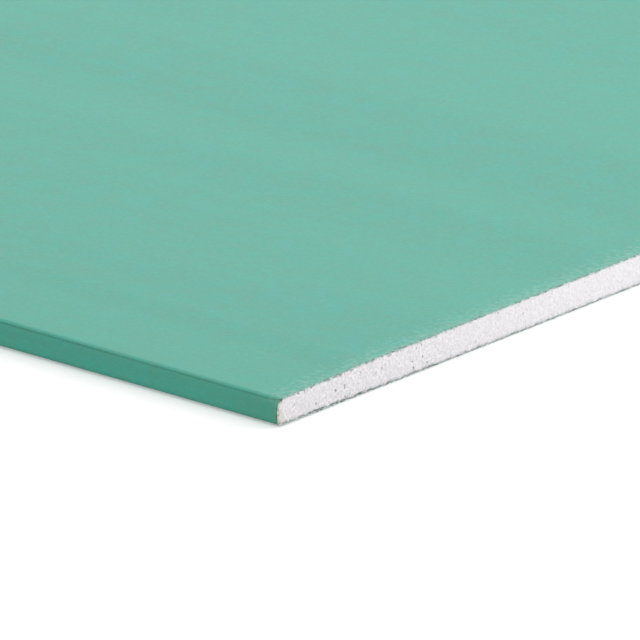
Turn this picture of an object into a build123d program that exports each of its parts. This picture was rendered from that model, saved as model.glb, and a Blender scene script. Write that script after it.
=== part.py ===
from build123d import *
import os

# Moisture-resistant drywall sheet, in millimetres, lying flat with its green face up.
# X runs along the sheet and through its two cut ends, Y runs across it and through its two
# papered long edges, and Z is its thickness. The origin is the middle of the back.
#
# The sheet is a sandwich. A line pours wet gypsum on a moving web of face paper, folds the
# sides of that web up round the gypsum and over it, lays a narrower back paper on top,
# and saws the set board to length. So the section below is the same all along X, the long edges
# are wrapped and the two ends show the bare core.

# The sheet as it is sold
length = 2500.0
width = 1200.0
thickness = 12.5

# The long edge: a shallow taper on the face, a round shoulder, and a small round at the back
taper_width = 55.0
taper_depth = 1.5
shoulder_radius = 3.5
back_corner_radius = 2.5

# The papers: the face paper ends in a flap on each side of the back, under the back paper
face_paper_thickness = 0.4
back_paper_thickness = 0.35
flap_width = 34.0
flap_overlap = 12.0

# Places that follow from them
edge_y = width / 2
edge_top = thickness - taper_depth
taper_start_y = edge_y - taper_width
flap_end_y = edge_y - flap_width
back_paper_edge_y = flap_end_y + flap_overlap
flap_bottom = back_paper_thickness


def wrapped_section():
    """The section inside the outer skin of the face paper, down to the underside of its flaps."""
    outline = Polyline(
        (-edge_y, flap_bottom),
        (edge_y, flap_bottom),
        (edge_y, edge_top),
        (taper_start_y, thickness),
        (-taper_start_y, thickness),
        (-edge_y, edge_top),
        close=True,
    )
    section = make_face(outline)
    edge_corners = section.vertices().filter_by(lambda corner: abs(corner.X) > taper_start_y)
    back_corners = edge_corners.group_by(Axis.Y)[0]
    section = fillet(back_corners, back_corner_radius)
    shoulders = section.vertices().group_by(Axis.Y)[-2]
    return fillet(shoulders, shoulder_radius)


def between_flaps():
    """The strip of the back where the face paper's flaps leave the gypsum bare."""
    strip = Rectangle(2 * flap_end_y, face_paper_thickness, align=(Align.CENTER, Align.MIN))
    return Pos(0, flap_bottom) * strip


def core_section():
    """Gypsum: all that the face paper wraps, and the strip between its flaps."""
    inside = offset(wrapped_section(), amount=-face_paper_thickness, kind=Kind.INTERSECTION)
    return inside + between_flaps()


def face_paper_section():
    """One web of paper, of even thickness: face, tapers, shoulders, long edges and flaps."""
    return wrapped_section() - core_section()


def back_paper_section():
    """A flat web that covers the gypsum on the back and laps over both flaps."""
    return Rectangle(2 * back_paper_edge_y, back_paper_thickness, align=(Align.CENTER, Align.MIN))


def sawn_to_length(section):
    """The section run along X, cut square at both ends."""
    return extrude(Plane.YZ * section, amount=length / 2, both=True)


sheet = {
    "gypsum_core": sawn_to_length(core_section()),
    "face_paper": sawn_to_length(face_paper_section()),
    "back_paper": sawn_to_length(back_paper_section()),
}

os.makedirs("parts", exist_ok=True)
for node, solid in sheet.items():
    export_step(solid, f"parts/{node}.step")
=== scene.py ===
# %% [markdown]
# # A sheet of green drywall
# Drywall is a sandwich made in one pass. Wet gypsum, whipped up with foam, is poured on a moving
# web of face paper. The sides of the web are scored, folded up round the gypsum and over it,
# a second web is laid on top as the back, and the board is cut to length when it has set.
#
# This file dresses a finished frame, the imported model, in its real surfaces. It goes the way the
# maker does: papers first, then the gypsum with its rough cut ends, then the finishes, and at last
# the floor, the light and the camera.

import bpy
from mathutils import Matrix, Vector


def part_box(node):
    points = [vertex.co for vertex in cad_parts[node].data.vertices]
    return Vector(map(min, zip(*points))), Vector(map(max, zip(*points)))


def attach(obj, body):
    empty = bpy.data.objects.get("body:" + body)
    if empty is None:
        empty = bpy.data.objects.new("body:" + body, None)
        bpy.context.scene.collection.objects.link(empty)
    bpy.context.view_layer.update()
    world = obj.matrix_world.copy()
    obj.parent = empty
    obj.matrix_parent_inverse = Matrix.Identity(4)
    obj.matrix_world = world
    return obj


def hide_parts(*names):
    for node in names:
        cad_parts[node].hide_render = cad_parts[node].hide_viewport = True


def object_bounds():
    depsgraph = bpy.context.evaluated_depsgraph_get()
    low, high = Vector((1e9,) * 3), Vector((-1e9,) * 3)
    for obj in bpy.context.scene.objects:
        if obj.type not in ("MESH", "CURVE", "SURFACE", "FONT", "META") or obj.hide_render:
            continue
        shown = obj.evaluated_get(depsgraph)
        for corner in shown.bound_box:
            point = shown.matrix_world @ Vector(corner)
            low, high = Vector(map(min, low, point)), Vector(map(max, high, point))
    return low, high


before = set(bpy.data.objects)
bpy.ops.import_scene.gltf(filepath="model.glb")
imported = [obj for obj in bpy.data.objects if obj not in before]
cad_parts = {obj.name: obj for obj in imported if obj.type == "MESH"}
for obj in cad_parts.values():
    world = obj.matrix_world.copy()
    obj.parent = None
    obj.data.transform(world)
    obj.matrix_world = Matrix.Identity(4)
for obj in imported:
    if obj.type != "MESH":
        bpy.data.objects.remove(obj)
sheet_low, sheet_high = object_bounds()
print("frame nodes:", sorted(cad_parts))

# %% [markdown]
# ## Measures
# The frame already holds every size of the sheet, so each one is read from it and none is typed
# twice. The taper, the shoulder and the back corner are found on the face paper's own vertices:
# the taper starts at the outermost points of the flat face, and the round corners end where the
# upright edge begins.

# %% Measures from the frame
import math

import bpy
from mathutils import Vector

MM = 0.001
TINY = 0.01 * MM

paper_points = [vertex.co.copy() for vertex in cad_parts["face_paper"].data.vertices]
core_low, core_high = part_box("gypsum_core")
back_low, back_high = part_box("back_paper")

half_length = sheet_high.x
half_width = sheet_high.y
face_z = sheet_high.z
flap_z = back_high.z
face_paper_thickness = face_z - core_high.z
back_paper_thickness = back_high.z - back_low.z

taper_y = max(abs(point.y) for point in paper_points if point.z > face_z - TINY)
flap_end_y = min(abs(point.y) for point in paper_points if point.z < flap_z + TINY)
outer_points = [point for point in paper_points if point.y > taper_y + TINY]
shoulder_start = max(outer_points, key=lambda point: point.z)
upright = [point.z for point in paper_points if point.y > half_width - TINY]
edge_low_z, edge_high_z = min(upright), max(upright)

taper_angle = math.atan2(face_z - shoulder_start.z, shoulder_start.y - taper_y)
shoulder_radius = (half_width - shoulder_start.y) / (1 - math.sin(taper_angle))
back_corner_radius = edge_low_z - flap_z
print("taper %.1f mm wide, %.2f degrees" % ((half_width - taper_y) / MM, math.degrees(taper_angle)))
print("shoulder radius %.2f mm, back corner %.2f mm" % (shoulder_radius / MM, back_corner_radius / MM))

# %% [markdown]
# ## Small tools
# Operators act on whatever is selected, and loading the frame leaves its nodes selected. So one
# helper clears the selection, one makes a piece the active one, and one picks edges by their place.
# The last three are for modifiers: one puts a modifier on and applies it, one makes a noise for it,
# and one gives each vertex a weight by its place.

# %% Small tools for modelling


def clear_selection():
    bpy.ops.object.select_all(action="DESELECT")


def make_active(piece):
    clear_selection()
    piece.select_set(True)
    bpy.context.view_layer.objects.active = piece


def pick_edges(piece, wanted):
    """Selects the edges whose two ends are both wanted, and leaves the piece in edit mode."""
    make_active(piece)
    mesh = piece.data
    for group in (mesh.vertices, mesh.edges, mesh.polygons):
        group.foreach_set("select", [False] * len(group))
    chosen = [wanted(vertex.co) for vertex in mesh.vertices]
    for vertex in mesh.vertices:
        vertex.select = chosen[vertex.index]
    for edge in mesh.edges:
        edge.select = all(chosen[index] for index in edge.vertices)
    bpy.ops.object.mode_set(mode="EDIT")
    bpy.ops.mesh.select_mode(type="EDGE")


def finish_with(piece, kind, **settings):
    """Adds a modifier, gives it its settings and applies it."""
    make_active(piece)
    modifier = piece.modifiers.new(kind.title(), kind)
    for name, value in settings.items():
        setattr(modifier, name, value)
    bpy.ops.object.modifier_apply(modifier=modifier.name)


def noise_texture(name, grain, **settings):
    """A solid noise for the Displace modifier, whose blobs are about grain metres across."""
    texture = bpy.data.textures.new(name, "CLOUDS")
    texture.noise_scale = grain
    for setting, value in settings.items():
        setattr(texture, setting, value)
    return texture


def weigh(piece, name, weight_at):
    """A vertex group whose weights come from each vertex's place."""
    group = piece.vertex_groups.new(name=name)
    for vertex in piece.data.vertices:
        weight = weight_at(vertex.co)
        if weight > 0:
            group.add([vertex.index], weight, "REPLACE")


# %% [markdown]
# ## The web of paper
# A web starts as a flat grid, as wide as the flat of the face. Its two long borders are then
# extruded step by step along the section of the edge, which is how a bevel or a curtain rail is
# drawn by hand: down the taper, round the shoulder, down the edge, round the back corner and in
# under the back. Solidify gives the web the thickness of real liner paper.
#
# A bend modifier would do it too, but extruded steps put each row of vertices exactly on the arcs
# of the frame, so the paper fits the gypsum without a gap.

# %% The section of the long edge
FACE_STEP = 0.7 * MM
FLAP_STEP = 2 * FACE_STEP
EDGE_STEP = 0.35 * MM
SCORE_DEPTH = 0.24 * MM
SCORE_HALF_WIDTH = 0.38 * MM
SCORE_CLEARANCE = 1.5
FEWEST_STEPS = 6
SHOULDER_SCORE = math.radians(40)
BACK_SCORE = math.radians(158)


def on_arc(centre, radius, angle):
    """A point of a round corner. Angles run from straight up towards the edge and on to straight down."""
    return centre + radius * Vector((math.sin(angle), math.cos(angle)))


def straight(start, end, step):
    """Points from start, left out, to end, about step apart."""
    count = max(1, round((end - start).length / step))
    return [start.lerp(end, (index + 1) / count) for index in range(count)]


def rounded(centre, radius, first, last, score):
    """Points on an arc, which a score line dents. Points too near the dent are left out."""
    count = max(FEWEST_STEPS, round(radius * (last - first) / EDGE_STEP))
    dent = SCORE_HALF_WIDTH / radius
    angles = [first + (last - first) * (index + 1) / count for index in range(count)]
    angles = [angle for angle in angles if abs(angle - score) > SCORE_CLEARANCE * dent]
    stations = [(angle, radius) for angle in angles]
    stations += [(score - dent, radius), (score, radius - SCORE_DEPTH), (score + dent, radius)]
    return [on_arc(centre, reach, angle) for angle, reach in sorted(stations)]


shoulder_centre = Vector((half_width - shoulder_radius, edge_high_z))
back_corner_centre = Vector((half_width - back_corner_radius, edge_low_z))
edge_section = [Vector((taper_y, face_z))]
edge_section += straight(edge_section[-1], Vector(shoulder_start.yz), FACE_STEP)
edge_section += rounded(shoulder_centre, shoulder_radius, taper_angle, math.pi / 2, SHOULDER_SCORE)
edge_section += straight(edge_section[-1], Vector((half_width, edge_low_z)), EDGE_STEP)
edge_section += rounded(back_corner_centre, back_corner_radius, math.pi / 2, math.pi, BACK_SCORE)
edge_section += straight(edge_section[-1], Vector((flap_end_y, flap_z)), FLAP_STEP)
print("steps in the edge's section:", len(edge_section) - 1)

# %% [markdown]
# ## Rows near the ends
# The saw that cuts the board leaves the paper slightly ragged, within a millimetre of the end.
# So the grid gets rows close together there, and long faces in between. The rows are cut with
# bisect, with gaps between them that grow towards the middle.

# %% A flat web with close rows at its ends
ENDS = ((1, "plus_x"), (-1, "minus_x"))
END_ROWS = [0.3 * MM, 0.8 * MM, 1.6 * MM, 3 * MM, 5 * MM, 8 * MM, 25 * MM]
LONG_ROWS = 4


def flat_web(name, half_y, z, step):
    """A grid from -1 to 1, scaled to the half sizes of the web, with close rows at its ends."""
    clear_selection()
    columns = round(2 * half_y / step)
    bpy.ops.mesh.primitive_grid_add(x_subdivisions=LONG_ROWS, y_subdivisions=columns,
                                    size=2, location=(0, 0, z))
    web = bpy.context.object
    web.name = web.data.name = name
    web.scale = (half_length, half_y, 1)
    bpy.ops.object.transform_apply(location=True, rotation=True, scale=True)
    bpy.ops.object.mode_set(mode="EDIT")
    for inset in END_ROWS:
        for end_x in (half_length - inset, inset - half_length):
            bpy.ops.mesh.select_all(action="SELECT")
            bpy.ops.mesh.bisect(plane_co=(end_x, 0, z), plane_no=(1, 0, 0))
    bpy.ops.object.mode_set(mode="OBJECT")
    return web


face_paper = flat_web("green_face_paper", taper_y, face_z, FACE_STEP)
print("flat web:", len(face_paper.data.polygons), "faces")

# %% [markdown]
# ## Folding the edges
# Each long border is selected by its place and extruded along the section. The steps of one side
# are mirrored on the other by turning the sign of Y.

# %% Fold both long edges
for side in (1, -1):
    pick_edges(face_paper, lambda place: place.y * side > taper_y - TINY)
    for here, there in zip(edge_section, edge_section[1:]):
        step = (0, side * (there.x - here.x), there.y - here.y)
        bpy.ops.mesh.extrude_edges_move(TRANSFORM_OT_translate={"value": step})
    bpy.ops.object.mode_set(mode="OBJECT")
print("folded web:", len(face_paper.data.polygons), "faces")

# %% [markdown]
# ## The score line climbs at the ends
# In the last few millimetres before a cut the score line leaves its straight course and climbs the
# shoulder towards the face. Moved straight, its vertices would leave the round shoulder. So each
# vertex slides along the arc instead: those on the line most, those at the arc's two ends not at all.

# %% Let the score line climb
SCORE_CLIMB = math.radians(21)
CLIMB_REACH = 5 * MM
CLIMB_CURVE = 1.5


def score_angle(x):
    """Where on the shoulder the score line lies, at a place along the sheet."""
    from_end = half_length - abs(x)
    return SHOULDER_SCORE - SCORE_CLIMB * max(0, 1 - from_end / CLIMB_REACH) ** CLIMB_CURVE


for vertex in face_paper.data.vertices:
    arm = Vector((abs(vertex.co.y), vertex.co.z)) - shoulder_centre
    angle = math.atan2(arm.x, arm.y)
    lever = min(angle / SHOULDER_SCORE, (math.pi / 2 - angle) / (math.pi / 2 - SHOULDER_SCORE))
    climb = SHOULDER_SCORE - score_angle(vertex.co.x)
    if lever > 0 and arm.length < shoulder_radius + TINY:
        climbed = on_arc(shoulder_centre, arm.length, angle - lever * climb)
        vertex.co.y = math.copysign(climbed.x, vertex.co.y)
        vertex.co.z = climbed.y
print("the score line ends %.0f degrees from upright" % math.degrees(score_angle(half_length)))

# %% [markdown]
# ## Thickness and ragged ends
# Solidify adds the inner side of the paper and the rim that the saw leaves. It can give both a
# material of their own, so the piece gets three empty material slots first: outside, inside, rim.
#
# Then a fine noise pulls the last rows back along X by up to 0.8 mm, and a weaker one lifts them
# like a burr. A point stays in place where the noise is as bright as the modifier's middle level, so
# a low level sends nearly all of them one way. The weights fade out within three millimetres, so the
# rows keep their order.

# %% Give a web its thickness and its ragged ends
FRAY_REACH = 3 * MM
FRAY_CURVE = 2
FRAY_DEPTH = 1.0 * MM
FRAY_LEVEL = 0.1
BURR_HEIGHT = 0.14 * MM
BURR_LEVEL = 0.3
BURR_WIDTH = 1.7
FACE_TUFT = 1.1 * MM
OUTSIDE, INSIDE, RIM = 0, 1, 2


def thicken(web, thickness):
    for _ in (OUTSIDE, INSIDE, RIM):
        web.data.materials.append(None)
    finish_with(web, "SOLIDIFY", thickness=thickness, offset=-1, use_even_offset=True,
                material_offset=INSIDE, material_offset_rim=RIM)


def at_end(place, end):
    """One at an end of the sheet, fading to nothing where the fray ends."""
    return max(0, 1 - (half_length - place.x * end) / FRAY_REACH) ** FRAY_CURVE


def fray(web, tuft):
    """Pulls the cut ends of a web back unevenly, in tufts, and lifts them a little."""
    ragged = noise_texture("ragged", tuft, noise_depth=3)
    burr = noise_texture("burr", BURR_WIDTH * tuft, noise_depth=1)
    for end, label in ENDS:
        weigh(web, label, lambda place: at_end(place, end))
        finish_with(web, "DISPLACE", texture=ragged, texture_coords="LOCAL", direction="X",
                    mid_level=FRAY_LEVEL, strength=-end * FRAY_DEPTH, vertex_group=label)
        finish_with(web, "DISPLACE", texture=burr, texture_coords="LOCAL", direction="Z",
                    mid_level=BURR_LEVEL, strength=BURR_HEIGHT, vertex_group=label)


def face_outwards(piece):
    make_active(piece)
    bpy.ops.object.mode_set(mode="EDIT")
    bpy.ops.mesh.select_all(action="SELECT")
    bpy.ops.mesh.normals_make_consistent(inside=False)
    bpy.ops.object.mode_set(mode="OBJECT")


face_outwards(face_paper)
thicken(face_paper, face_paper_thickness)
fray(face_paper, FACE_TUFT)
print("face paper with both sides:", len(face_paper.data.polygons), "faces")

# %% [markdown]
# ## A measure for the finish
# The dark colour of the score line has to follow its climb. So each vertex of the paper stores how far
# it lies past the line, as an attribute that the material reads later.

# %% Store the distance past the score line


def store(piece, name, measure):
    """Keeps a measure of each vertex's place on the piece, for its material."""
    values = piece.data.attributes.new(name, "FLOAT", "POINT").data
    for vertex in piece.data.vertices:
        values[vertex.index].value = measure(vertex.co)


def past_score(place):
    """The distance from the score line, negative on its upper side."""
    line = on_arc(shoulder_centre, shoulder_radius, score_angle(place.x))
    return math.copysign((Vector((abs(place.y), place.z)) - line).length, line.y - place.z)


store(face_paper, "past_score", past_score)
distances = [stored.value for stored in face_paper.data.attributes["past_score"].data]
print("past the line: %.1f to %.1f mm" % (min(distances) / MM, max(distances) / MM))

# %% [markdown]
# ## The back web
# The back paper is a plain flat web, a little narrower than the sheet. It is laid on last, over the
# two flaps, and its borders lie open on them.

# %% The back web
BACK_STEP = 1.2 * MM
BACK_TUFT = 1.3 * MM
back_paper = flat_web("grey_back_paper", back_high.y, back_high.z, BACK_STEP)
thicken(back_paper, back_paper_thickness)
fray(back_paper, BACK_TUFT)
for web in (face_paper, back_paper):
    low = min(vertex.co.z for vertex in web.data.vertices)
    print(web.name, "faces:", len(web.data.polygons), "lowest point %.3f mm" % (low / MM))

# %% [markdown]
# ## The gypsum core
# The core fills the paper exactly, so its section is right in the frame already. What the frame
# lacks is the cut: foamed gypsum breaks grain by grain under the saw, and crumbles away where
# it meets the paper.
#
# So a long block with a very fine grid on both ends is roughened with noise, and the core is cut out
# of it with an intersection. The section stays that of the frame, and only the ends are rough. The
# block is a little wider and thicker than the core, which keeps its own borders out of the cut.

# %% A long block with fine grids on its ends
CUT_GRID = 0.58 * MM
BLOCK_MARGIN = 1.2 * MM

block_half_y = core_high.y + BLOCK_MARGIN
block_middle_z = (core_low.z + core_high.z) / 2
block_half_z = (core_high.z - core_low.z) / 2 + BLOCK_MARGIN

clear_selection()
bpy.ops.mesh.primitive_grid_add(x_subdivisions=round(2 * block_half_z / CUT_GRID),
                                y_subdivisions=round(2 * block_half_y / CUT_GRID),
                                size=2, location=(half_length, 0, block_middle_z),
                                rotation=(0, math.pi / 2, 0))
block = bpy.context.object
block.name = block.data.name = "gypsum_core_cut"
block.scale = (block_half_z, block_half_y, 1)
bpy.ops.object.transform_apply(location=True, rotation=True, scale=True)
bpy.ops.object.mode_set(mode="EDIT")
bpy.ops.mesh.select_all(action="SELECT")
bpy.ops.mesh.extrude_region_move(TRANSFORM_OT_translate={"value": (-2 * half_length, 0, 0)})
bpy.ops.object.mode_set(mode="OBJECT")
face_outwards(block)
print("block:", len(block.data.polygons), "faces")

# %% [markdown]
# ## Grains, waves and crumbs
# Three noises shape the cut, all of them inwards: long shallow waves from the saw, the grains
# of the foamed gypsum, and crumbs that fall out along the paper. The crumbs need a measure of how far
# a point lies below the paper. In the section that is the radius of a round corner, less the
# distance from its centre: a point beside or over the centre counts straight up or straight out, so
# the same sum holds along the face and the edge. Away from the long edge the saw leaves smaller
# crumbs. One more crumb is missing where the score line ends, because the cut has torn the fold there.

# %% The three noises and their reach
WAVE_SIZE = 9 * MM
WAVE_DEPTH = 0.12 * MM
GRAIN_SIZE = 1.2 * MM
GRAIN_DEPTH = 0.45 * MM
CRUMB_SIZE = 1.3 * MM
CRUMB_DEPTH = 1.1 * MM
CRUMB_REACH = 0.8 * MM
FOLD_DEPTH = 1.4 * MM
FOLD_REACH = 1.1 * MM
CALM_START = 45 * MM
CALM_REACH = 60 * MM
CALM_CRUMBS = 0.5
torn_fold = on_arc(shoulder_centre, shoulder_radius, score_angle(half_length))
taper_slope = math.tan(taper_angle)

waves = noise_texture("waves", WAVE_SIZE, noise_depth=1)
grains = noise_texture("grains", GRAIN_SIZE, noise_depth=3)
crumbs = noise_texture("crumbs", CRUMB_SIZE, noise_depth=2, contrast=2.5)


def below_paper(place):
    """How far a point of the section lies inside the gypsum's border."""
    side_y = abs(place.y)
    rise = min(max(shoulder_centre.x - side_y, 0), shoulder_start.y - taper_y) * taper_slope
    over_shoulder = max(place.z - rise - shoulder_centre.y, 0)
    under_corner = max(back_corner_centre.y - place.z, 0)
    from_face = shoulder_radius - math.hypot(max(side_y - shoulder_centre.x, 0), over_shoulder)
    from_back = back_corner_radius - math.hypot(max(side_y - back_corner_centre.x, 0), under_corner)
    return min(from_face, from_back) - face_paper_thickness


def at_fold(place):
    """One where the fold is torn, fading to nothing one crumb further off."""
    away = math.hypot(abs(place.y) - torn_fold.x, place.z - torn_fold.y)
    return max(0, 1 - away / FOLD_REACH)


def crumbling(place):
    """One on the border beside the long edge, less further in, and nothing deeper than one crumb."""
    calm = max(0, min(1, (half_width - abs(place.y) - CALM_START) / CALM_REACH))
    return max(0, min(1, 1 - below_paper(place) / CRUMB_REACH)) * (1 - (1 - CALM_CRUMBS) * calm)


# %% Roughen the two ends
for end, label in ENDS:
    weigh(block, "cut_" + label, lambda place: 1 if place.x * end > 0 else 0)
    weigh(block, "rim_" + label, lambda place: crumbling(place) if place.x * end > 0 else 0)
    for texture, depth, group in ((waves, WAVE_DEPTH, "cut_"), (grains, GRAIN_DEPTH, "cut_"),
                                  (crumbs, CRUMB_DEPTH, "rim_")):
        finish_with(block, "DISPLACE", texture=texture, texture_coords="LOCAL", direction="X",
                    mid_level=0, strength=-end * depth, vertex_group=group + label)
    weigh(block, "fold_" + label, lambda place: at_fold(place) if place.x * end > 0 else 0)
    finish_with(block, "DISPLACE", direction="X", mid_level=0, strength=-end * FOLD_DEPTH,
                vertex_group="fold_" + label)
    print("roughened end:", label)

# %% [markdown]
# ## Cutting the core out
# The intersection needs two closed skins. In the frame each face of the core is a patch of its own,
# so the patches are joined first, on a copy, and the frame itself stays as it is.

# %% Cut the core out of the block
clear_selection()
core_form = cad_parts["gypsum_core"].copy()
core_form.data = core_form.data.copy()
bpy.context.scene.collection.objects.link(core_form)
make_active(core_form)
bpy.ops.object.mode_set(mode="EDIT")
bpy.ops.mesh.select_all(action="SELECT")
bpy.ops.mesh.remove_doubles(threshold=TINY)
bpy.ops.object.mode_set(mode="OBJECT")

gypsum_core = block
finish_with(gypsum_core, "BOOLEAN", operation="INTERSECT", solver="EXACT", object=core_form)
bpy.data.objects.remove(core_form)
gypsum_core.data.materials.clear()
print("core:", len(gypsum_core.data.polygons), "faces")

# %% [markdown]
# ## Corners to clear away
# Where the outline bends within one square of the grid, the intersection leaves a corner that has two
# edges only. Split into triangles, the faces on both sides of it would cut across along the same line,
# which spoils the mesh as a closed skin. So points that nearly coincide are merged, and the corners
# with two edges are dissolved.

# %% Clear away corners with two edges
NEARLY_SAME = TINY / 5

make_active(gypsum_core)
bpy.ops.object.mode_set(mode="EDIT")
bpy.ops.mesh.select_all(action="SELECT")
bpy.ops.mesh.remove_doubles(threshold=NEARLY_SAME)
bpy.ops.mesh.select_mode(type="VERT")
bpy.ops.mesh.select_all(action="DESELECT")
bpy.ops.mesh.select_by_pole_count(pole_count=2, type="EQUAL", exclude_nonmanifold=False)
bpy.ops.mesh.dissolve_verts()
bpy.ops.object.mode_set(mode="OBJECT")
store(gypsum_core, "below_paper", below_paper)
store(gypsum_core, "at_fold", at_fold)
print("core's corners:", len(gypsum_core.data.vertices))

# %% [markdown]
# ## Colours and nodes
# Colours are written as the hex values that a colour picker shows, and one function turns them
# into the linear values that Blender computes with. Another adds a node, with its settings and its
# links. Every pattern reads Object coordinates, which are metres here, so a pattern's scale is one
# over its real size. Paper and gypsum both bend light about as glass does, with an IOR near 1.5, and
# neither is metallic, so the materials differ in colour, roughness and relief alone.

# %% Small tools for materials
IOR = 1.5


def colour(hex_code):
    """An sRGB hex code as a linear colour with alpha, by the formula of the sRGB standard."""
    parts = [int(hex_code[start:start + 2], 16) / 255 for start in (1, 3, 5)]
    linear = [part / 12.92 if part <= 0.04045 else ((part + 0.055) / 1.055) ** 2.4 for part in parts]
    return linear + [1]


def add(tree, kind, inputs=None, **settings):
    """Adds a node. An input is a value, another node for its first output, or one of its outputs."""
    made = tree.nodes.new("ShaderNode" + kind)
    for name, value in settings.items():
        setattr(made, name, value)
    for name, value in (inputs or {}).items():
        if isinstance(value, bpy.types.Node):
            value = value.outputs[0]
        if isinstance(value, bpy.types.NodeSocket):
            tree.links.new(value, made.inputs[name])
        else:
            made.inputs[name].default_value = value
    return made


def new_material(name, roughness):
    """A material with a Principled shader, and what the next steps need of it."""
    material = bpy.data.materials.new(name)
    material.use_nodes = True
    tree = material.node_tree
    shader = tree.nodes["Principled BSDF"]
    shader.inputs["Roughness"].default_value = roughness
    shader.inputs["IOR"].default_value = IOR
    place = add(tree, "TexCoord").outputs["Object"]
    return material, tree, shader, place


def per_metre(size_mm):
    """The texture scale that makes a feature that many millimetres across."""
    return 1 / (size_mm * MM)


# %% [markdown]
# ## Green face paper
# The face liner of moisture-resistant board is a multi-ply recycled paper with a green top ply,
# sized and pressed smooth between rolls. It is matt and deep green head on, and turns pale at a low
# angle, where its fibres and its pressed surface catch the light of the room. That is a matter of
# roughness, and needs no second colour.
#
# The colour itself is slightly cloudy, because pulp settles unevenly, with faint long bands that the
# paper machine leaves along the web, and short pale fibres. Real fibres are 0.03 mm thick; they are
# drawn fifteen times coarser, to show.

# %% Green paper: clouds and bands
CLOUD_MM = 8
BAND_MM = 45
BAND_LENGTH = 12
face_material, tree, shader, place = new_material("sized_green_liner_paper", roughness=0.7)
cloud = add(tree, "TexNoise", {"Vector": place, "Scale": per_metre(CLOUD_MM), "Detail": 4,
                               "Roughness": 0.6})
cloud_share = add(tree, "MapRange", {"Value": cloud, "From Min": 0.36, "From Max": 0.64})
pulp = add(tree, "MixRGB", {"Fac": cloud_share, "Color1": colour("#2E9988"), "Color2": colour("#3D937E")})
drawn_out = add(tree, "Mapping", {"Vector": place, "Scale": (1 / BAND_LENGTH, 1, 1)})
bands = add(tree, "TexNoise", {"Vector": drawn_out, "Scale": per_metre(BAND_MM), "Detail": 2})
band_share = add(tree, "MapRange", {"Value": bands, "From Min": 0.4, "From Max": 0.6, "To Max": 0.35})
banded = add(tree, "MixRGB", {"Fac": band_share, "Color1": pulp, "Color2": colour("#429E89")})
print("nodes for clouds and bands:", len(tree.nodes))

# %% Green paper: fibres
FIBRE_MM = 0.45
FIBRE_LENGTH = 5
FIBRE_TURN = math.radians(28)
along_web = add(tree, "Mapping", {"Vector": place, "Scale": (1 / FIBRE_LENGTH, 1, 1)})
fibres_along = add(tree, "TexNoise", {"Vector": along_web, "Scale": per_metre(FIBRE_MM), "Detail": 3,
                                      "Roughness": 0.65})
turned = add(tree, "Mapping", {"Vector": place, "Rotation": (0, 0, FIBRE_TURN)})
across_web = add(tree, "Mapping", {"Vector": turned, "Scale": (1, 1 / FIBRE_LENGTH, 1)})
fibres_across = add(tree, "TexNoise", {"Vector": across_web, "Scale": per_metre(FIBRE_MM), "Detail": 3,
                                       "Roughness": 0.65})
fibres = add(tree, "Math", {0: fibres_along, 1: fibres_across}, operation="MAXIMUM")
fibre_share = add(tree, "MapRange", {"Value": fibres, "From Min": 0.5, "From Max": 0.78,
                                     "To Min": 0, "To Max": 0.35})
fibred = add(tree, "MixRGB", {"Fac": fibre_share, "Color1": banded, "Color2": colour("#6CB5A5")})
print("and with the fibres:", len(tree.nodes))

# %% [markdown]
# ## The score line
# Before the web is folded, a wheel scores it, so that it folds in a clean line. The line is painted
# dark: partly painted shade in the groove, where light hardly reaches, and partly the dirt it takes
# up. Its mask is the distance from the line, made uneven by a noise that is drawn out along the web.
# Below the line, where the paper has been stretched round the shoulder, it is painted a little darker
# at first: that is painted shade.

# %% Green paper: the score line, with painted shade in it and below it
SMUDGE_MM = 3
SMUDGE_SQUEEZE = 0.35
LINE_WANDER = 0.9 * MM
LINE_CORE = 0.5 * MM
LINE_END = 1.1 * MM
BELOW_LINE_SHADE_REACH = 6 * MM
past_line = add(tree, "Attribute", attribute_name="past_score").outputs["Fac"]
away = add(tree, "Math", {0: past_line}, operation="ABSOLUTE")
along_score = add(tree, "Mapping", {"Vector": place, "Scale": (SMUDGE_SQUEEZE, 1, 1)})
score_noise = add(tree, "TexNoise", {"Vector": along_score, "Scale": per_metre(SMUDGE_MM), "Detail": 3})
# Painted shade and dirt: the score line's dark green is partly shade in the groove, partly dirt.
uneven_score = add(tree, "Math", {0: score_noise, 1: LINE_WANDER, 2: away}, operation="MULTIPLY_ADD")
score_shade_and_dirt_share = add(tree, "MapRange", {"Value": uneven_score, "From Min": LINE_CORE, "From Max": LINE_END,
                                     "To Min": 0.5, "To Max": 0})
score_shade_and_dirt = add(tree, "MixRGB", {"Fac": score_shade_and_dirt_share, "Color1": fibred, "Color2": colour("#3A6D5A")})
# Painted shade: below the line the green is painted darker at first, fading out within six millimetres.
below_line_shade_end = add(tree, "MapRange", {"Value": past_line, "From Min": LINE_CORE,
                                     "From Max": BELOW_LINE_SHADE_REACH, "To Min": 0.27, "To Max": 0})
below_line_shade_start = add(tree, "MapRange", {"Value": past_line, "From Min": 0, "From Max": LINE_CORE})
below_line_shade_share = add(tree, "Math", {0: below_line_shade_end, 1: below_line_shade_start}, operation="MULTIPLY")
below_line_shaded = add(tree, "MixRGB", {"Fac": below_line_shade_share, "Color1": score_shade_and_dirt, "Color2": colour("#3C7763")})
print("and with the score line:", len(tree.nodes))

# %% [markdown]
# ## Where the saw passed
# The upright edge is handled most near the cut, and its green is duller there. In the last
# millimetre or two the paper is rubbed browner, most on the edge, and has dark nicks. White dust
# from the saw has settled on the face there, and not on the edge. Each mask is the distance from
# the end, and the narrow ones are made uneven by noise.

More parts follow.
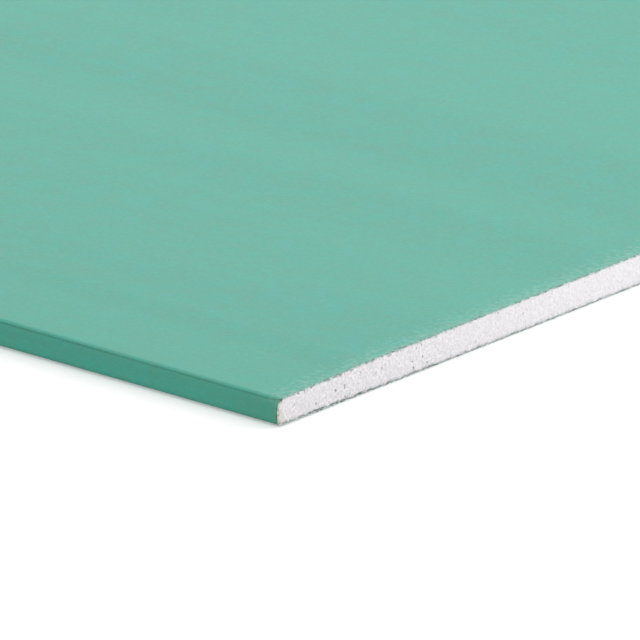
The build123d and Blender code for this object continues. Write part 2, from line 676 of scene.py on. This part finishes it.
# %% Green paper: the edge near the cut
HANDLED_REACH = 35 * MM
axes = add(tree, "SeparateXYZ", {"Vector": place})
end_x = add(tree, "Math", {0: axes.outputs["X"]}, operation="ABSOLUTE")
from_end = add(tree, "Math", {0: half_length, 1: end_x}, operation="SUBTRACT")
on_face = add(tree, "MapRange", {"Value": axes.outputs["Z"], "From Min": edge_high_z,
                                 "From Max": shoulder_start.z})
handled_near_end = add(tree, "MapRange", {"Value": from_end, "From Max": HANDLED_REACH,
                                          "To Min": 0.45, "To Max": 0})
off_face = add(tree, "Math", {0: 1, 1: on_face}, operation="SUBTRACT")
handled_share = add(tree, "Math", {0: handled_near_end, 1: off_face}, operation="MULTIPLY")
handled = add(tree, "MixRGB", {"Fac": handled_share, "Color1": below_line_shaded, "Color2": colour("#41896B")})
print("and with the handled edge:", len(tree.nodes))

# %% Green paper: rubbed strip
NICK_MM = 1.7
RUB_WANDER = 1.6 * MM
RUB_CORE = 1.3 * MM
RUB_END = 3.2 * MM
FACE_SPARED = 0.6
nicks = add(tree, "TexNoise", {"Vector": place, "Scale": per_metre(NICK_MM), "Detail": 3,
                               "Roughness": 0.6})
uneven_end = add(tree, "Math", {0: nicks, 1: RUB_WANDER, 2: from_end}, operation="MULTIPLY_ADD")
rub_limit = add(tree, "MapRange", {"Value": uneven_end, "From Min": RUB_CORE, "From Max": RUB_END,
                                   "To Min": 0.75, "To Max": 0})
on_edge = add(tree, "Math", {0: on_face, 1: -FACE_SPARED, 2: 1}, operation="MULTIPLY_ADD")
rub_share = add(tree, "Math", {0: rub_limit, 1: on_edge}, operation="MULTIPLY")
rubbed = add(tree, "MixRGB", {"Fac": rub_share, "Color1": handled, "Color2": colour("#5A836C")})
print("and with the rubbed strip:", len(tree.nodes))

# %% Green paper: dust and nicks
DRIFT_MM = 2.5
DUST_FADE_MM = 60
NICK_FADE_MM = 9
drift = add(tree, "TexNoise", {"Vector": place, "Scale": per_metre(DRIFT_MM), "Detail": 5,
                               "Roughness": 0.7})
dust_limit = add(tree, "Math", {0: from_end, 1: -per_metre(DUST_FADE_MM), 2: drift},
                 operation="MULTIPLY_ADD")
dust_near_end = add(tree, "MapRange", {"Value": dust_limit, "From Min": 0.35, "From Max": 0.7,
                                       "To Max": 0.3})
dust_share = add(tree, "Math", {0: dust_near_end, 1: on_face}, operation="MULTIPLY")
dusty = add(tree, "MixRGB", {"Fac": dust_share, "Color1": rubbed, "Color2": colour("#BFD3CB")})
nick_limit = add(tree, "Math", {0: from_end, 1: -per_metre(NICK_FADE_MM), 2: nicks},
                 operation="MULTIPLY_ADD")
nick_share = add(tree, "MapRange", {"Value": nick_limit, "From Min": 0.47, "From Max": 0.53,
                                    "To Min": 0, "To Max": 0.85})
nicked = add(tree, "MixRGB", {"Fac": nick_share, "Color1": dusty, "Color2": colour("#41544A")})
tree.links.new(nicked.outputs["Color"], shader.inputs["Base Color"])

# %% Green paper: relief
FIBRE_RELIEF = 0.06 * MM
bump = add(tree, "Bump", {"Height": fibres, "Strength": 0.3, "Distance": FIBRE_RELIEF})
tree.links.new(bump.outputs["Normal"], shader.inputs["Normal"])
print(face_material.name, "has", len(tree.nodes), "nodes")

# %% [markdown]
# ## The rims of the papers
# Only the top ply is green. The plies below it, and so most of what the saw lays bare at the rim, are
# grey recycled pulp, frayed and full of gypsum dust and dark fibres. The dust clings most to the
# upright edge, where the saw leaves the board. Round the shoulder the rim is painted a little darker
# instead, as painted shade, and darkest where the score line ends, where the stretched paper has
# torn: that dark patch is partly torn paper and partly painted shade of the notch.

# %% Cut rim: dust on the edge, painted shade on the shoulder
RIM_EDGE_START = 3 * MM
RIM_EDGE_FULL = 2 * MM
SHOULDER_BLEND = 0.5 * MM
FLUFF_MM = 1.4
rim_material, tree, shader, place = new_material("sawn_liner_paper_rim", roughness=0.9)
axes = add(tree, "SeparateXYZ", {"Vector": place})
side_y = add(tree, "Math", {0: axes.outputs["Y"]}, operation="ABSOLUTE")
near_edge = add(tree, "MapRange", {"Value": side_y, "From Min": half_width - RIM_EDGE_START,
                                   "From Max": half_width - RIM_EDGE_FULL})
on_shoulder = add(tree, "MapRange", {"Value": axes.outputs["Z"],
                                     "From Min": edge_high_z - SHOULDER_BLEND,
                                     "From Max": edge_high_z + SHOULDER_BLEND})
# Near the edge: more dust below the shoulder, and painted shade, a darker rim, on the shoulder.
dust_and_shoulder_shade = add(tree, "MapRange", {"Value": on_shoulder, "To Min": 0.07, "To Max": -0.05})
dust_and_shade_change = add(tree, "Math", {0: dust_and_shoulder_shade, 1: near_edge}, operation="MULTIPLY")
fluff = add(tree, "TexNoise", {"Vector": place, "Scale": per_metre(FLUFF_MM), "Detail": 4,
                               "Roughness": 0.75})
fluffed = add(tree, "Math", {0: fluff, 1: dust_and_shade_change}, operation="ADD")
fluff_share = add(tree, "MapRange", {"Value": fluffed, "From Min": 0.37, "From Max": 0.49})
frayed = add(tree, "MixRGB", {"Fac": fluff_share, "Color1": colour("#55675F"),
                              "Color2": colour("#9CB5AC")})
dust_share = add(tree, "MapRange", {"Value": fluffed, "From Min": 0.5, "From Max": 0.6, "To Max": 0.85})
dusted = add(tree, "MixRGB", {"Fac": dust_share, "Color1": frayed, "Color2": colour("#DFE6E4")})
print("nodes for the dusty rim:", len(tree.nodes))

# %% Cut rim: torn paper and painted shade where the score line ends
TORN_SHADE_CORE = 0.4 * MM
TORN_SHADE_END = 1.0 * MM
section_place = add(tree, "CombineXYZ", {"Y": side_y, "Z": axes.outputs["Z"]})
from_fold = add(tree, "VectorMath", {0: section_place, 1: (0, torn_fold.x, torn_fold.y)},
                operation="DISTANCE").outputs["Value"]
# Painted shade and torn paper: the rim is painted dark round the end of the score line.
torn_and_shade_share = add(tree, "MapRange", {"Value": from_fold, "From Min": TORN_SHADE_CORE, "From Max": TORN_SHADE_END,
                                    "To Min": 0.9, "To Max": 0})
torn_and_shaded = add(tree, "MixRGB", {"Fac": torn_and_shade_share, "Color1": dusted, "Color2": colour("#36493F")})
tree.links.new(torn_and_shaded.outputs["Color"], shader.inputs["Base Color"])
print(rim_material.name, "has", len(tree.nodes), "nodes")

# %% Inner plies
PULP_MM = 2
inner_material, tree, shader, place = new_material("grey_inner_ply_paper", roughness=0.9)
pulp = add(tree, "TexNoise", {"Vector": place, "Scale": per_metre(PULP_MM), "Detail": 4,
                              "Roughness": 0.7})
ply_colour = add(tree, "MixRGB", {"Fac": pulp, "Color1": colour("#7C908A"), "Color2": colour("#9DB2AC")})
tree.links.new(ply_colour.outputs["Color"], shader.inputs["Base Color"])

face_paper.data.materials[OUTSIDE] = face_material
face_paper.data.materials[INSIDE] = inner_material
face_paper.data.materials[RIM] = rim_material
print(face_paper.name, "wears:", face_paper.data.materials.keys())

# %% [markdown]
# ## Grey back paper
# The back liner is never seen on the wall, so it is plain recycled pulp, unsized and matt: warm
# grey, cloudier than the face, with dark flecks of old print. This web was drawn at its upper side,
# which is glued to the gypsum, so what Solidify calls its inner side is the one that is seen.

# %% Grey back paper: cloudy pulp
BACK_CLOUD_MM = 7
back_material, tree, shader, place = new_material("recycled_grey_liner_paper", roughness=0.85)
cloud = add(tree, "TexNoise", {"Vector": place, "Scale": per_metre(BACK_CLOUD_MM), "Detail": 5,
                               "Roughness": 0.7})
cloud_share = add(tree, "MapRange", {"Value": cloud, "From Min": 0.35, "From Max": 0.65})
pulp = add(tree, "MixRGB", {"Fac": cloud_share, "Color1": colour("#A19C90"), "Color2": colour("#BAB5A9")})
print("nodes for the cloudy pulp:", len(tree.nodes))

# %% Grey back paper: flecks
FLECK_MM = 2.4
FLECK_LENGTH = 2
TATTER_MM = 1.5
TATTER_DEPTH = 1.2 * MM
tatter = add(tree, "TexNoise", {"Vector": place, "Scale": per_metre(TATTER_MM), "Detail": 2})
uneven = add(tree, "VectorMath", {0: tatter.outputs["Color"], 1: (TATTER_DEPTH,) * 3, 2: place},
             operation="MULTIPLY_ADD")
along_web = add(tree, "Mapping", {"Vector": uneven, "Scale": (1 / FLECK_LENGTH, 1, 1)})
fleck = add(tree, "TexVoronoi", {"Vector": along_web, "Scale": per_metre(FLECK_MM)})
fleck_parts = add(tree, "SeparateColor", {"Color": fleck.outputs["Color"]})
fleck_reach = add(tree, "MapRange", {"Value": fleck_parts.outputs["Red"], "From Min": 0.6,
                                     "To Max": 0.16})
fleck_depth = add(tree, "Math", {0: fleck_reach, 1: fleck.outputs["Distance"]}, operation="SUBTRACT")
fleck_share = add(tree, "MapRange", {"Value": fleck_depth, "From Max": 0.04, "To Max": 0.7})
flecked = add(tree, "MixRGB", {"Fac": fleck_share, "Color1": pulp, "Color2": colour("#6E6A62")})
tree.links.new(flecked.outputs["Color"], shader.inputs["Base Color"])

back_paper.data.materials[OUTSIDE] = inner_material
back_paper.data.materials[INSIDE] = back_material
back_paper.data.materials[RIM] = rim_material
print(back_paper.name, "wears:", back_paper.data.materials.keys())

# %% [markdown]
# ## Sawn gypsum
# Gypsum is a soft white stone. Foamed and set, it is full of bubbles, from too small to see to
# about a millimetre, so a cut face looks like fine white bread. A noise with much fine detail makes
# the crumb, a broad one the faint cloudiness, and two Voronoi textures the round pores: many small
# ones, and a few large ones. The pores are painted dark as painted shade inside the bubbles. They
# differ in size and in darkness from cell to cell, and are painted darkest in the middle, where a deep
# one's shade is deepest. The widest pore's radius is given as a share of the spacing.

# %% Sawn gypsum: crumb
CRUMB_MM = 1.0
FOAM_CLOUD_MM = 7
core_material, tree, shader, place = new_material("foamed_gypsum_sawn", roughness=0.95)
crumb = add(tree, "TexNoise", {"Vector": place, "Scale": per_metre(CRUMB_MM), "Detail": 6,
                               "Roughness": 0.8})
crumb_light = add(tree, "MapRange", {"Value": crumb, "From Min": 0.36, "From Max": 0.62})
stone = add(tree, "MixRGB", {"Fac": crumb_light, "Color1": colour("#C2BEC0"),
                             "Color2": colour("#F8F6F8")})
cloud = add(tree, "TexNoise", {"Vector": place, "Scale": per_metre(FOAM_CLOUD_MM), "Detail": 2})
cloud_share = add(tree, "MapRange", {"Value": cloud, "From Min": 0.45, "From Max": 0.65, "To Max": 0.3})
clouded = add(tree, "MixRGB", {"Fac": cloud_share, "Color1": stone, "Color2": colour("#DCDAE0")})
print("nodes for the crumb:", len(tree.nodes))

# %% Sawn gypsum: pores, painted with shade
PORE_SPACINGS_MM = (1.3, 2.9)
WIDEST_PORES = (0.34, 0.22)
PORE_SLOPE = 0.55
WOBBLE_MM = 0.6
WOBBLE_DEPTH = 0.25 * MM
wobble = add(tree, "TexNoise", {"Vector": place, "Scale": per_metre(WOBBLE_MM), "Detail": 1})
uneven = add(tree, "VectorMath", {0: wobble.outputs["Color"], 1: (WOBBLE_DEPTH,) * 3, 2: place},
             operation="MULTIPLY_ADD")
pore_shade_shares = []
for spacing_mm, widest in zip(PORE_SPACINGS_MM, WIDEST_PORES):
    pore = add(tree, "TexVoronoi", {"Vector": uneven, "Scale": per_metre(spacing_mm)})
    pore_parts = add(tree, "SeparateColor", {"Color": pore.outputs["Color"]})
    pore_reach = add(tree, "Math", {0: pore_parts.outputs["Red"], 1: widest}, operation="MULTIPLY")
    pore_depth = add(tree, "Math", {0: pore_reach, 1: pore.outputs["Distance"]}, operation="SUBTRACT")
    darkest_pore_shade = add(tree, "MapRange", {"Value": pore_parts.outputs["Green"], "To Min": 0.4, "To Max": 1})
    pore_shade_shares.append(add(tree, "MapRange", {"Value": pore_depth, "From Max": PORE_SLOPE * widest,
                                              "To Max": darkest_pore_shade}))
small_pore_shade, large_pore_shade = pore_shade_shares
pore_depth_and_shade = add(tree, "Math", {0: small_pore_shade, 1: large_pore_shade}, operation="MAXIMUM")
# Painted shade: the pores' dark colour stands in for the shade inside the bubbles.
pore_shaded = add(tree, "MixRGB", {"Fac": pore_depth_and_shade, "Color1": clouded, "Color2": colour("#6E6765")})
print("and with the pores:", len(tree.nodes))

# %% [markdown]
# ## The border of the cut
# Beside the long edge the gypsum is denser, with a finer crumb, and a warmer grey, more so low down.
# Its crumb shows most a few centimetres from the edge, and fades again further in. Along the papers
# crumbs are missing, and their pits are painted with dark specks of shade; the notch of the torn fold
# is painted dark as shade too. The masks are the distance from the long edge, and the two measures
# that were stored on the core's vertices.

# %% Sawn gypsum: dense and warm beside the edge
EVEN_START = 10 * MM
EVEN_END = 40 * MM
WARM_MM = 2.5
WARM_WANDER = 8 * MM
WARM_TILT = 0.7
WARM_CORE = 6.5 * MM
WARM_END = 12.5 * MM
axes = add(tree, "SeparateXYZ", {"Vector": place})
side_y = add(tree, "Math", {0: axes.outputs["Y"]}, operation="ABSOLUTE")
from_edge = add(tree, "Math", {0: core_high.y, 1: side_y}, operation="SUBTRACT")
even_share = add(tree, "MapRange", {"Value": from_edge, "From Min": EVEN_START, "From Max": EVEN_END,
                                    "To Min": 0.3, "To Max": 0})
evened = add(tree, "MixRGB", {"Fac": even_share, "Color1": pore_shaded, "Color2": colour("#E4E1E4")})
warm_noise = add(tree, "TexNoise", {"Vector": place, "Scale": per_metre(WARM_MM), "Detail": 3})
tilted = add(tree, "Math", {0: axes.outputs["Z"], 1: WARM_TILT, 2: from_edge}, operation="MULTIPLY_ADD")
uneven_edge = add(tree, "Math", {0: warm_noise, 1: WARM_WANDER, 2: tilted}, operation="MULTIPLY_ADD")
warm_share = add(tree, "MapRange", {"Value": uneven_edge, "From Min": WARM_CORE, "From Max": WARM_END,
                                    "To Min": 0.6, "To Max": 0})
warmed = add(tree, "MixRGB", {"Fac": warm_share, "Color1": evened, "Color2": colour("#D2C9B8")})
print("and with the warm border:", len(tree.nodes))

# %% Sawn gypsum: painted shade in the crumb pits along the papers
PIT_SHADE_MM = 1.5
PIT_SHADE_FADE_MM = 8
border = add(tree, "Attribute", attribute_name="below_paper").outputs["Fac"]
pit_shade_noise = add(tree, "TexNoise", {"Vector": place, "Scale": per_metre(PIT_SHADE_MM), "Detail": 2})
pit_shade_limit = add(tree, "Math", {0: border, 1: -per_metre(PIT_SHADE_FADE_MM), 2: pit_shade_noise},
                  operation="MULTIPLY_ADD")
most_pit_shade = add(tree, "MapRange", {"Value": from_edge, "From Min": CALM_START,
                                     "From Max": CALM_START + CALM_REACH, "To Min": 0.6, "To Max": 0.35})
# Painted shade: dark specks in the pits where crumbs are missing along the papers.
pit_shade_share = add(tree, "MapRange", {"Value": pit_shade_limit, "From Min": 0.49, "From Max": 0.55,
                                     "To Max": most_pit_shade})
pit_shaded = add(tree, "MixRGB", {"Fac": pit_shade_share, "Color1": warmed, "Color2": colour("#75857F")})
print("and with the specks:", len(tree.nodes))

# %% Sawn gypsum: painted shade in the torn fold, and the calm middle
CALM_LOOK_START = 20 * MM
CALM_LOOK_END = 180 * MM
at_fold_share = add(tree, "Attribute", attribute_name="at_fold").outputs["Fac"]
# Painted shade: the notch where the fold is torn is painted dark, as the shade in it.
fold_shade_share = add(tree, "MapRange", {"Value": at_fold_share, "From Min": 0.1, "From Max": 0.5,
                                    "To Min": 0, "To Max": 0.85})
notch_shaded = add(tree, "MixRGB", {"Fac": fold_shade_share, "Color1": pit_shaded, "Color2": colour("#5F7468")})
calm_share = add(tree, "MapRange", {"Value": from_edge, "From Min": CALM_LOOK_START,
                                    "From Max": CALM_LOOK_END, "To Min": 0, "To Max": 0.5})
calmed = add(tree, "MixRGB", {"Fac": calm_share, "Color1": notch_shaded, "Color2": colour("#EAE8EB")})
tree.links.new(calmed.outputs["Color"], shader.inputs["Base Color"])
print("and with the fold and the middle:", len(tree.nodes))

# %% Sawn gypsum: relief
CRUMB_RELIEF = 0.25 * MM
relief = add(tree, "Math", {0: crumb, 1: pore_depth_and_shade}, operation="SUBTRACT")
bump = add(tree, "Bump", {"Height": relief, "Strength": 0.7, "Distance": CRUMB_RELIEF})
tree.links.new(bump.outputs["Normal"], shader.inputs["Normal"])
gypsum_core.data.materials.append(core_material)
print(core_material.name, "has", len(tree.nodes), "nodes")

# %% [markdown]
# ## Tie the pieces to the frame
# Each piece rides on the sheet's one body and stands for the node that it replaces, which is hidden.
# Faces that meet at less than 35 degrees are shaded as one smooth surface, so the shoulder looks round
# and the score line stays a line.

# %% Tie the pieces to the frame
SMOOTH_BELOW = math.radians(35)

for piece, node, slot in ((gypsum_core, "gypsum_core", "gypsum"),
                          (face_paper, "face_paper", "green_face_paper"),
                          (back_paper, "back_paper", "grey_back_paper")):
    make_active(piece)
    bpy.ops.object.shade_smooth_by_angle(angle=SMOOTH_BELOW)
    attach(piece, "root")
    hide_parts(node)
    print(piece.name, "stands for", node)

# %% [markdown]
# ## The floor
# The floor is a pale matt plane. It is to look white where no shadow falls, and still keep the
# sheet's shadow, so it glows a little for the camera and for reflections only, which puts no more
# light on the sheet. Seen from below it is clear, and it has an opening under the sheet, a little
# smaller than the sheet is: so daylight reaches the back, and the back can be looked at too.

# %% The floor and its opening
FLOOR_GAP = 0.2 * MM
OPENING_MARGIN = 4 * MM
FLOOR_SIZE = 60
inner_half = FLOOR_SIZE / 4

clear_selection()
bpy.ops.mesh.primitive_plane_add(size=FLOOR_SIZE, location=(0, 0, -FLOOR_GAP))
floor = bpy.context.object
floor.name = "studio_floor"
bpy.ops.object.mode_set(mode="EDIT")
bpy.ops.mesh.select_all(action="SELECT")
bpy.ops.mesh.inset(thickness=FLOOR_SIZE / 2 - inner_half)
narrowing = ((half_length - OPENING_MARGIN) / inner_half, (half_width - OPENING_MARGIN) / inner_half, 1)
bpy.ops.transform.resize(value=narrowing, center_override=(0, 0, 0))
bpy.ops.mesh.delete(type="FACE")
bpy.ops.object.mode_set(mode="OBJECT")
print("floor:", len(floor.data.polygons), "faces round the opening")

# %% The floor's paint and glow
FLOOR_GLOW = 0.3
floor_material = bpy.data.materials.new("studio_floor_white")
floor_material.use_nodes = True
tree = floor_material.node_tree
tree.nodes.clear()
paint = add(tree, "BsdfDiffuse", {"Color": colour("#E8E8E8")})
rays = add(tree, "LightPath").outputs
seen = add(tree, "Math", {0: rays["Is Camera Ray"], 1: rays["Is Glossy Ray"]}, operation="MAXIMUM")
glow_strength = add(tree, "Math", {0: seen, 1: FLOOR_GLOW}, operation="MULTIPLY")
glow = add(tree, "Emission", {"Strength": glow_strength})
lit = add(tree, "AddShader", {0: paint, 1: glow})
from_below = add(tree, "NewGeometry").outputs["Backfacing"]
surface = add(tree, "MixShader", {0: from_below, 1: lit, 2: add(tree, "BsdfTransparent")})
add(tree, "OutputMaterial", {"Surface": surface})
floor.data.materials.append(floor_material)
print(floor_material.name, "has", len(tree.nodes), "nodes")

# %% [markdown]
# ## The light
# An even white sky does most of the work. A wide softbox stands low behind the sheet: it skims
# over the face, which gives the paper its pale sheen, and hardly reaches the edge below the score
# line. A small one stands to the right and lights the cut end, more at its far part.

# %% The sky
SKY_LIGHT = 0.95
world = bpy.data.worlds.new("studio_sky")
bpy.context.scene.world = world
world.use_nodes = True
tree = world.node_tree
background = tree.nodes["Background"]
background.inputs["Color"].default_value = (1, 1, 1, 1)
rays = add(tree, "LightPath").outputs
seen = add(tree, "Math", {0: rays["Is Camera Ray"], 1: rays["Is Glossy Ray"]}, operation="MAXIMUM")
strength = add(tree, "MapRange", {"Value": seen, "To Min": SKY_LIGHT, "To Max": 1})
tree.links.new(strength.outputs["Result"], background.inputs["Strength"])
print("the sky lights with", SKY_LIGHT, "and looks white")

# %% The softboxes
near_corner = Vector((half_length, -half_width, 0))


def softbox(name, from_corner, size, watts):
    """A square area lamp at a place given from the near corner, and turned to face it."""
    lamp = bpy.data.lights.new(name, "AREA")
    lamp.shape = "SQUARE"
    lamp.size = size
    lamp.energy = watts
    stand = bpy.data.objects.new(name, lamp)
    bpy.context.scene.collection.objects.link(stand)
    stand.location = near_corner + Vector(from_corner)
    stand.rotation_euler = Vector(from_corner).to_track_quat("Z", "Y").to_euler()
    print("%s: %.1f W at %.1f m" % (name, watts, Vector(from_corner).length))


softbox("skimming_softbox", from_corner=(-2.1, 2.5, 1.3), size=2.0, watts=43)
softbox("end_softbox", from_corner=(0.7, 0.8, 0.3), size=0.6, watts=3.2)

# %% [markdown]
# ## The camera
# The photograph was taken from far off, so that parallel lines stay parallel. A very long lens does
# the same. The camera stands 19 degrees above level, turned 40 degrees from the long edge. It is
# shifted so that the sheet's near corner falls on its pixel in the photograph.

# %% The camera's place
IMAGE_SIDE = 640
CAMERA_AZIMUTH = math.radians(40.29)
CAMERA_ELEVATION = math.radians(19.385)
PIXELS_PER_MM = 2.62
CORNER_PIXEL = (278.3, 428.0)
LENS_MM = 1500.0
SENSOR_MM = 36.0

right = Vector((math.cos(CAMERA_AZIMUTH), math.sin(CAMERA_AZIMUTH), 0))
back = Vector((math.sin(CAMERA_AZIMUTH) * math.cos(CAMERA_ELEVATION),
               -math.cos(CAMERA_AZIMUTH) * math.cos(CAMERA_ELEVATION), math.sin(CAMERA_ELEVATION)))
up = back.cross(right)
pixel = MM / PIXELS_PER_MM
centre = (near_corner + right * (IMAGE_SIDE / 2 - CORNER_PIXEL[0]) * pixel
          + up * (CORNER_PIXEL[1] - IMAGE_SIDE / 2) * pixel)
distance = IMAGE_SIDE * pixel * LENS_MM / SENSOR_MM
print("camera is %.1f m away" % distance)

# %% The camera
CLIP_END = 100
camera_data = bpy.data.cameras.new("camera")
camera_data.lens = LENS_MM
camera_data.sensor_width = SENSOR_MM
camera_data.clip_end = CLIP_END
camera = bpy.data.objects.new("camera", camera_data)
bpy.context.scene.collection.objects.link(camera)
camera.location = centre + back * distance
camera.rotation_euler = back.to_track_quat("Z", "Y").to_euler()
bpy.context.scene.camera = camera
bpy.context.scene.view_settings.view_transform = "Standard"
print("camera stands at x %.2f, y %.2f, z %.2f m" % tuple(camera.location))
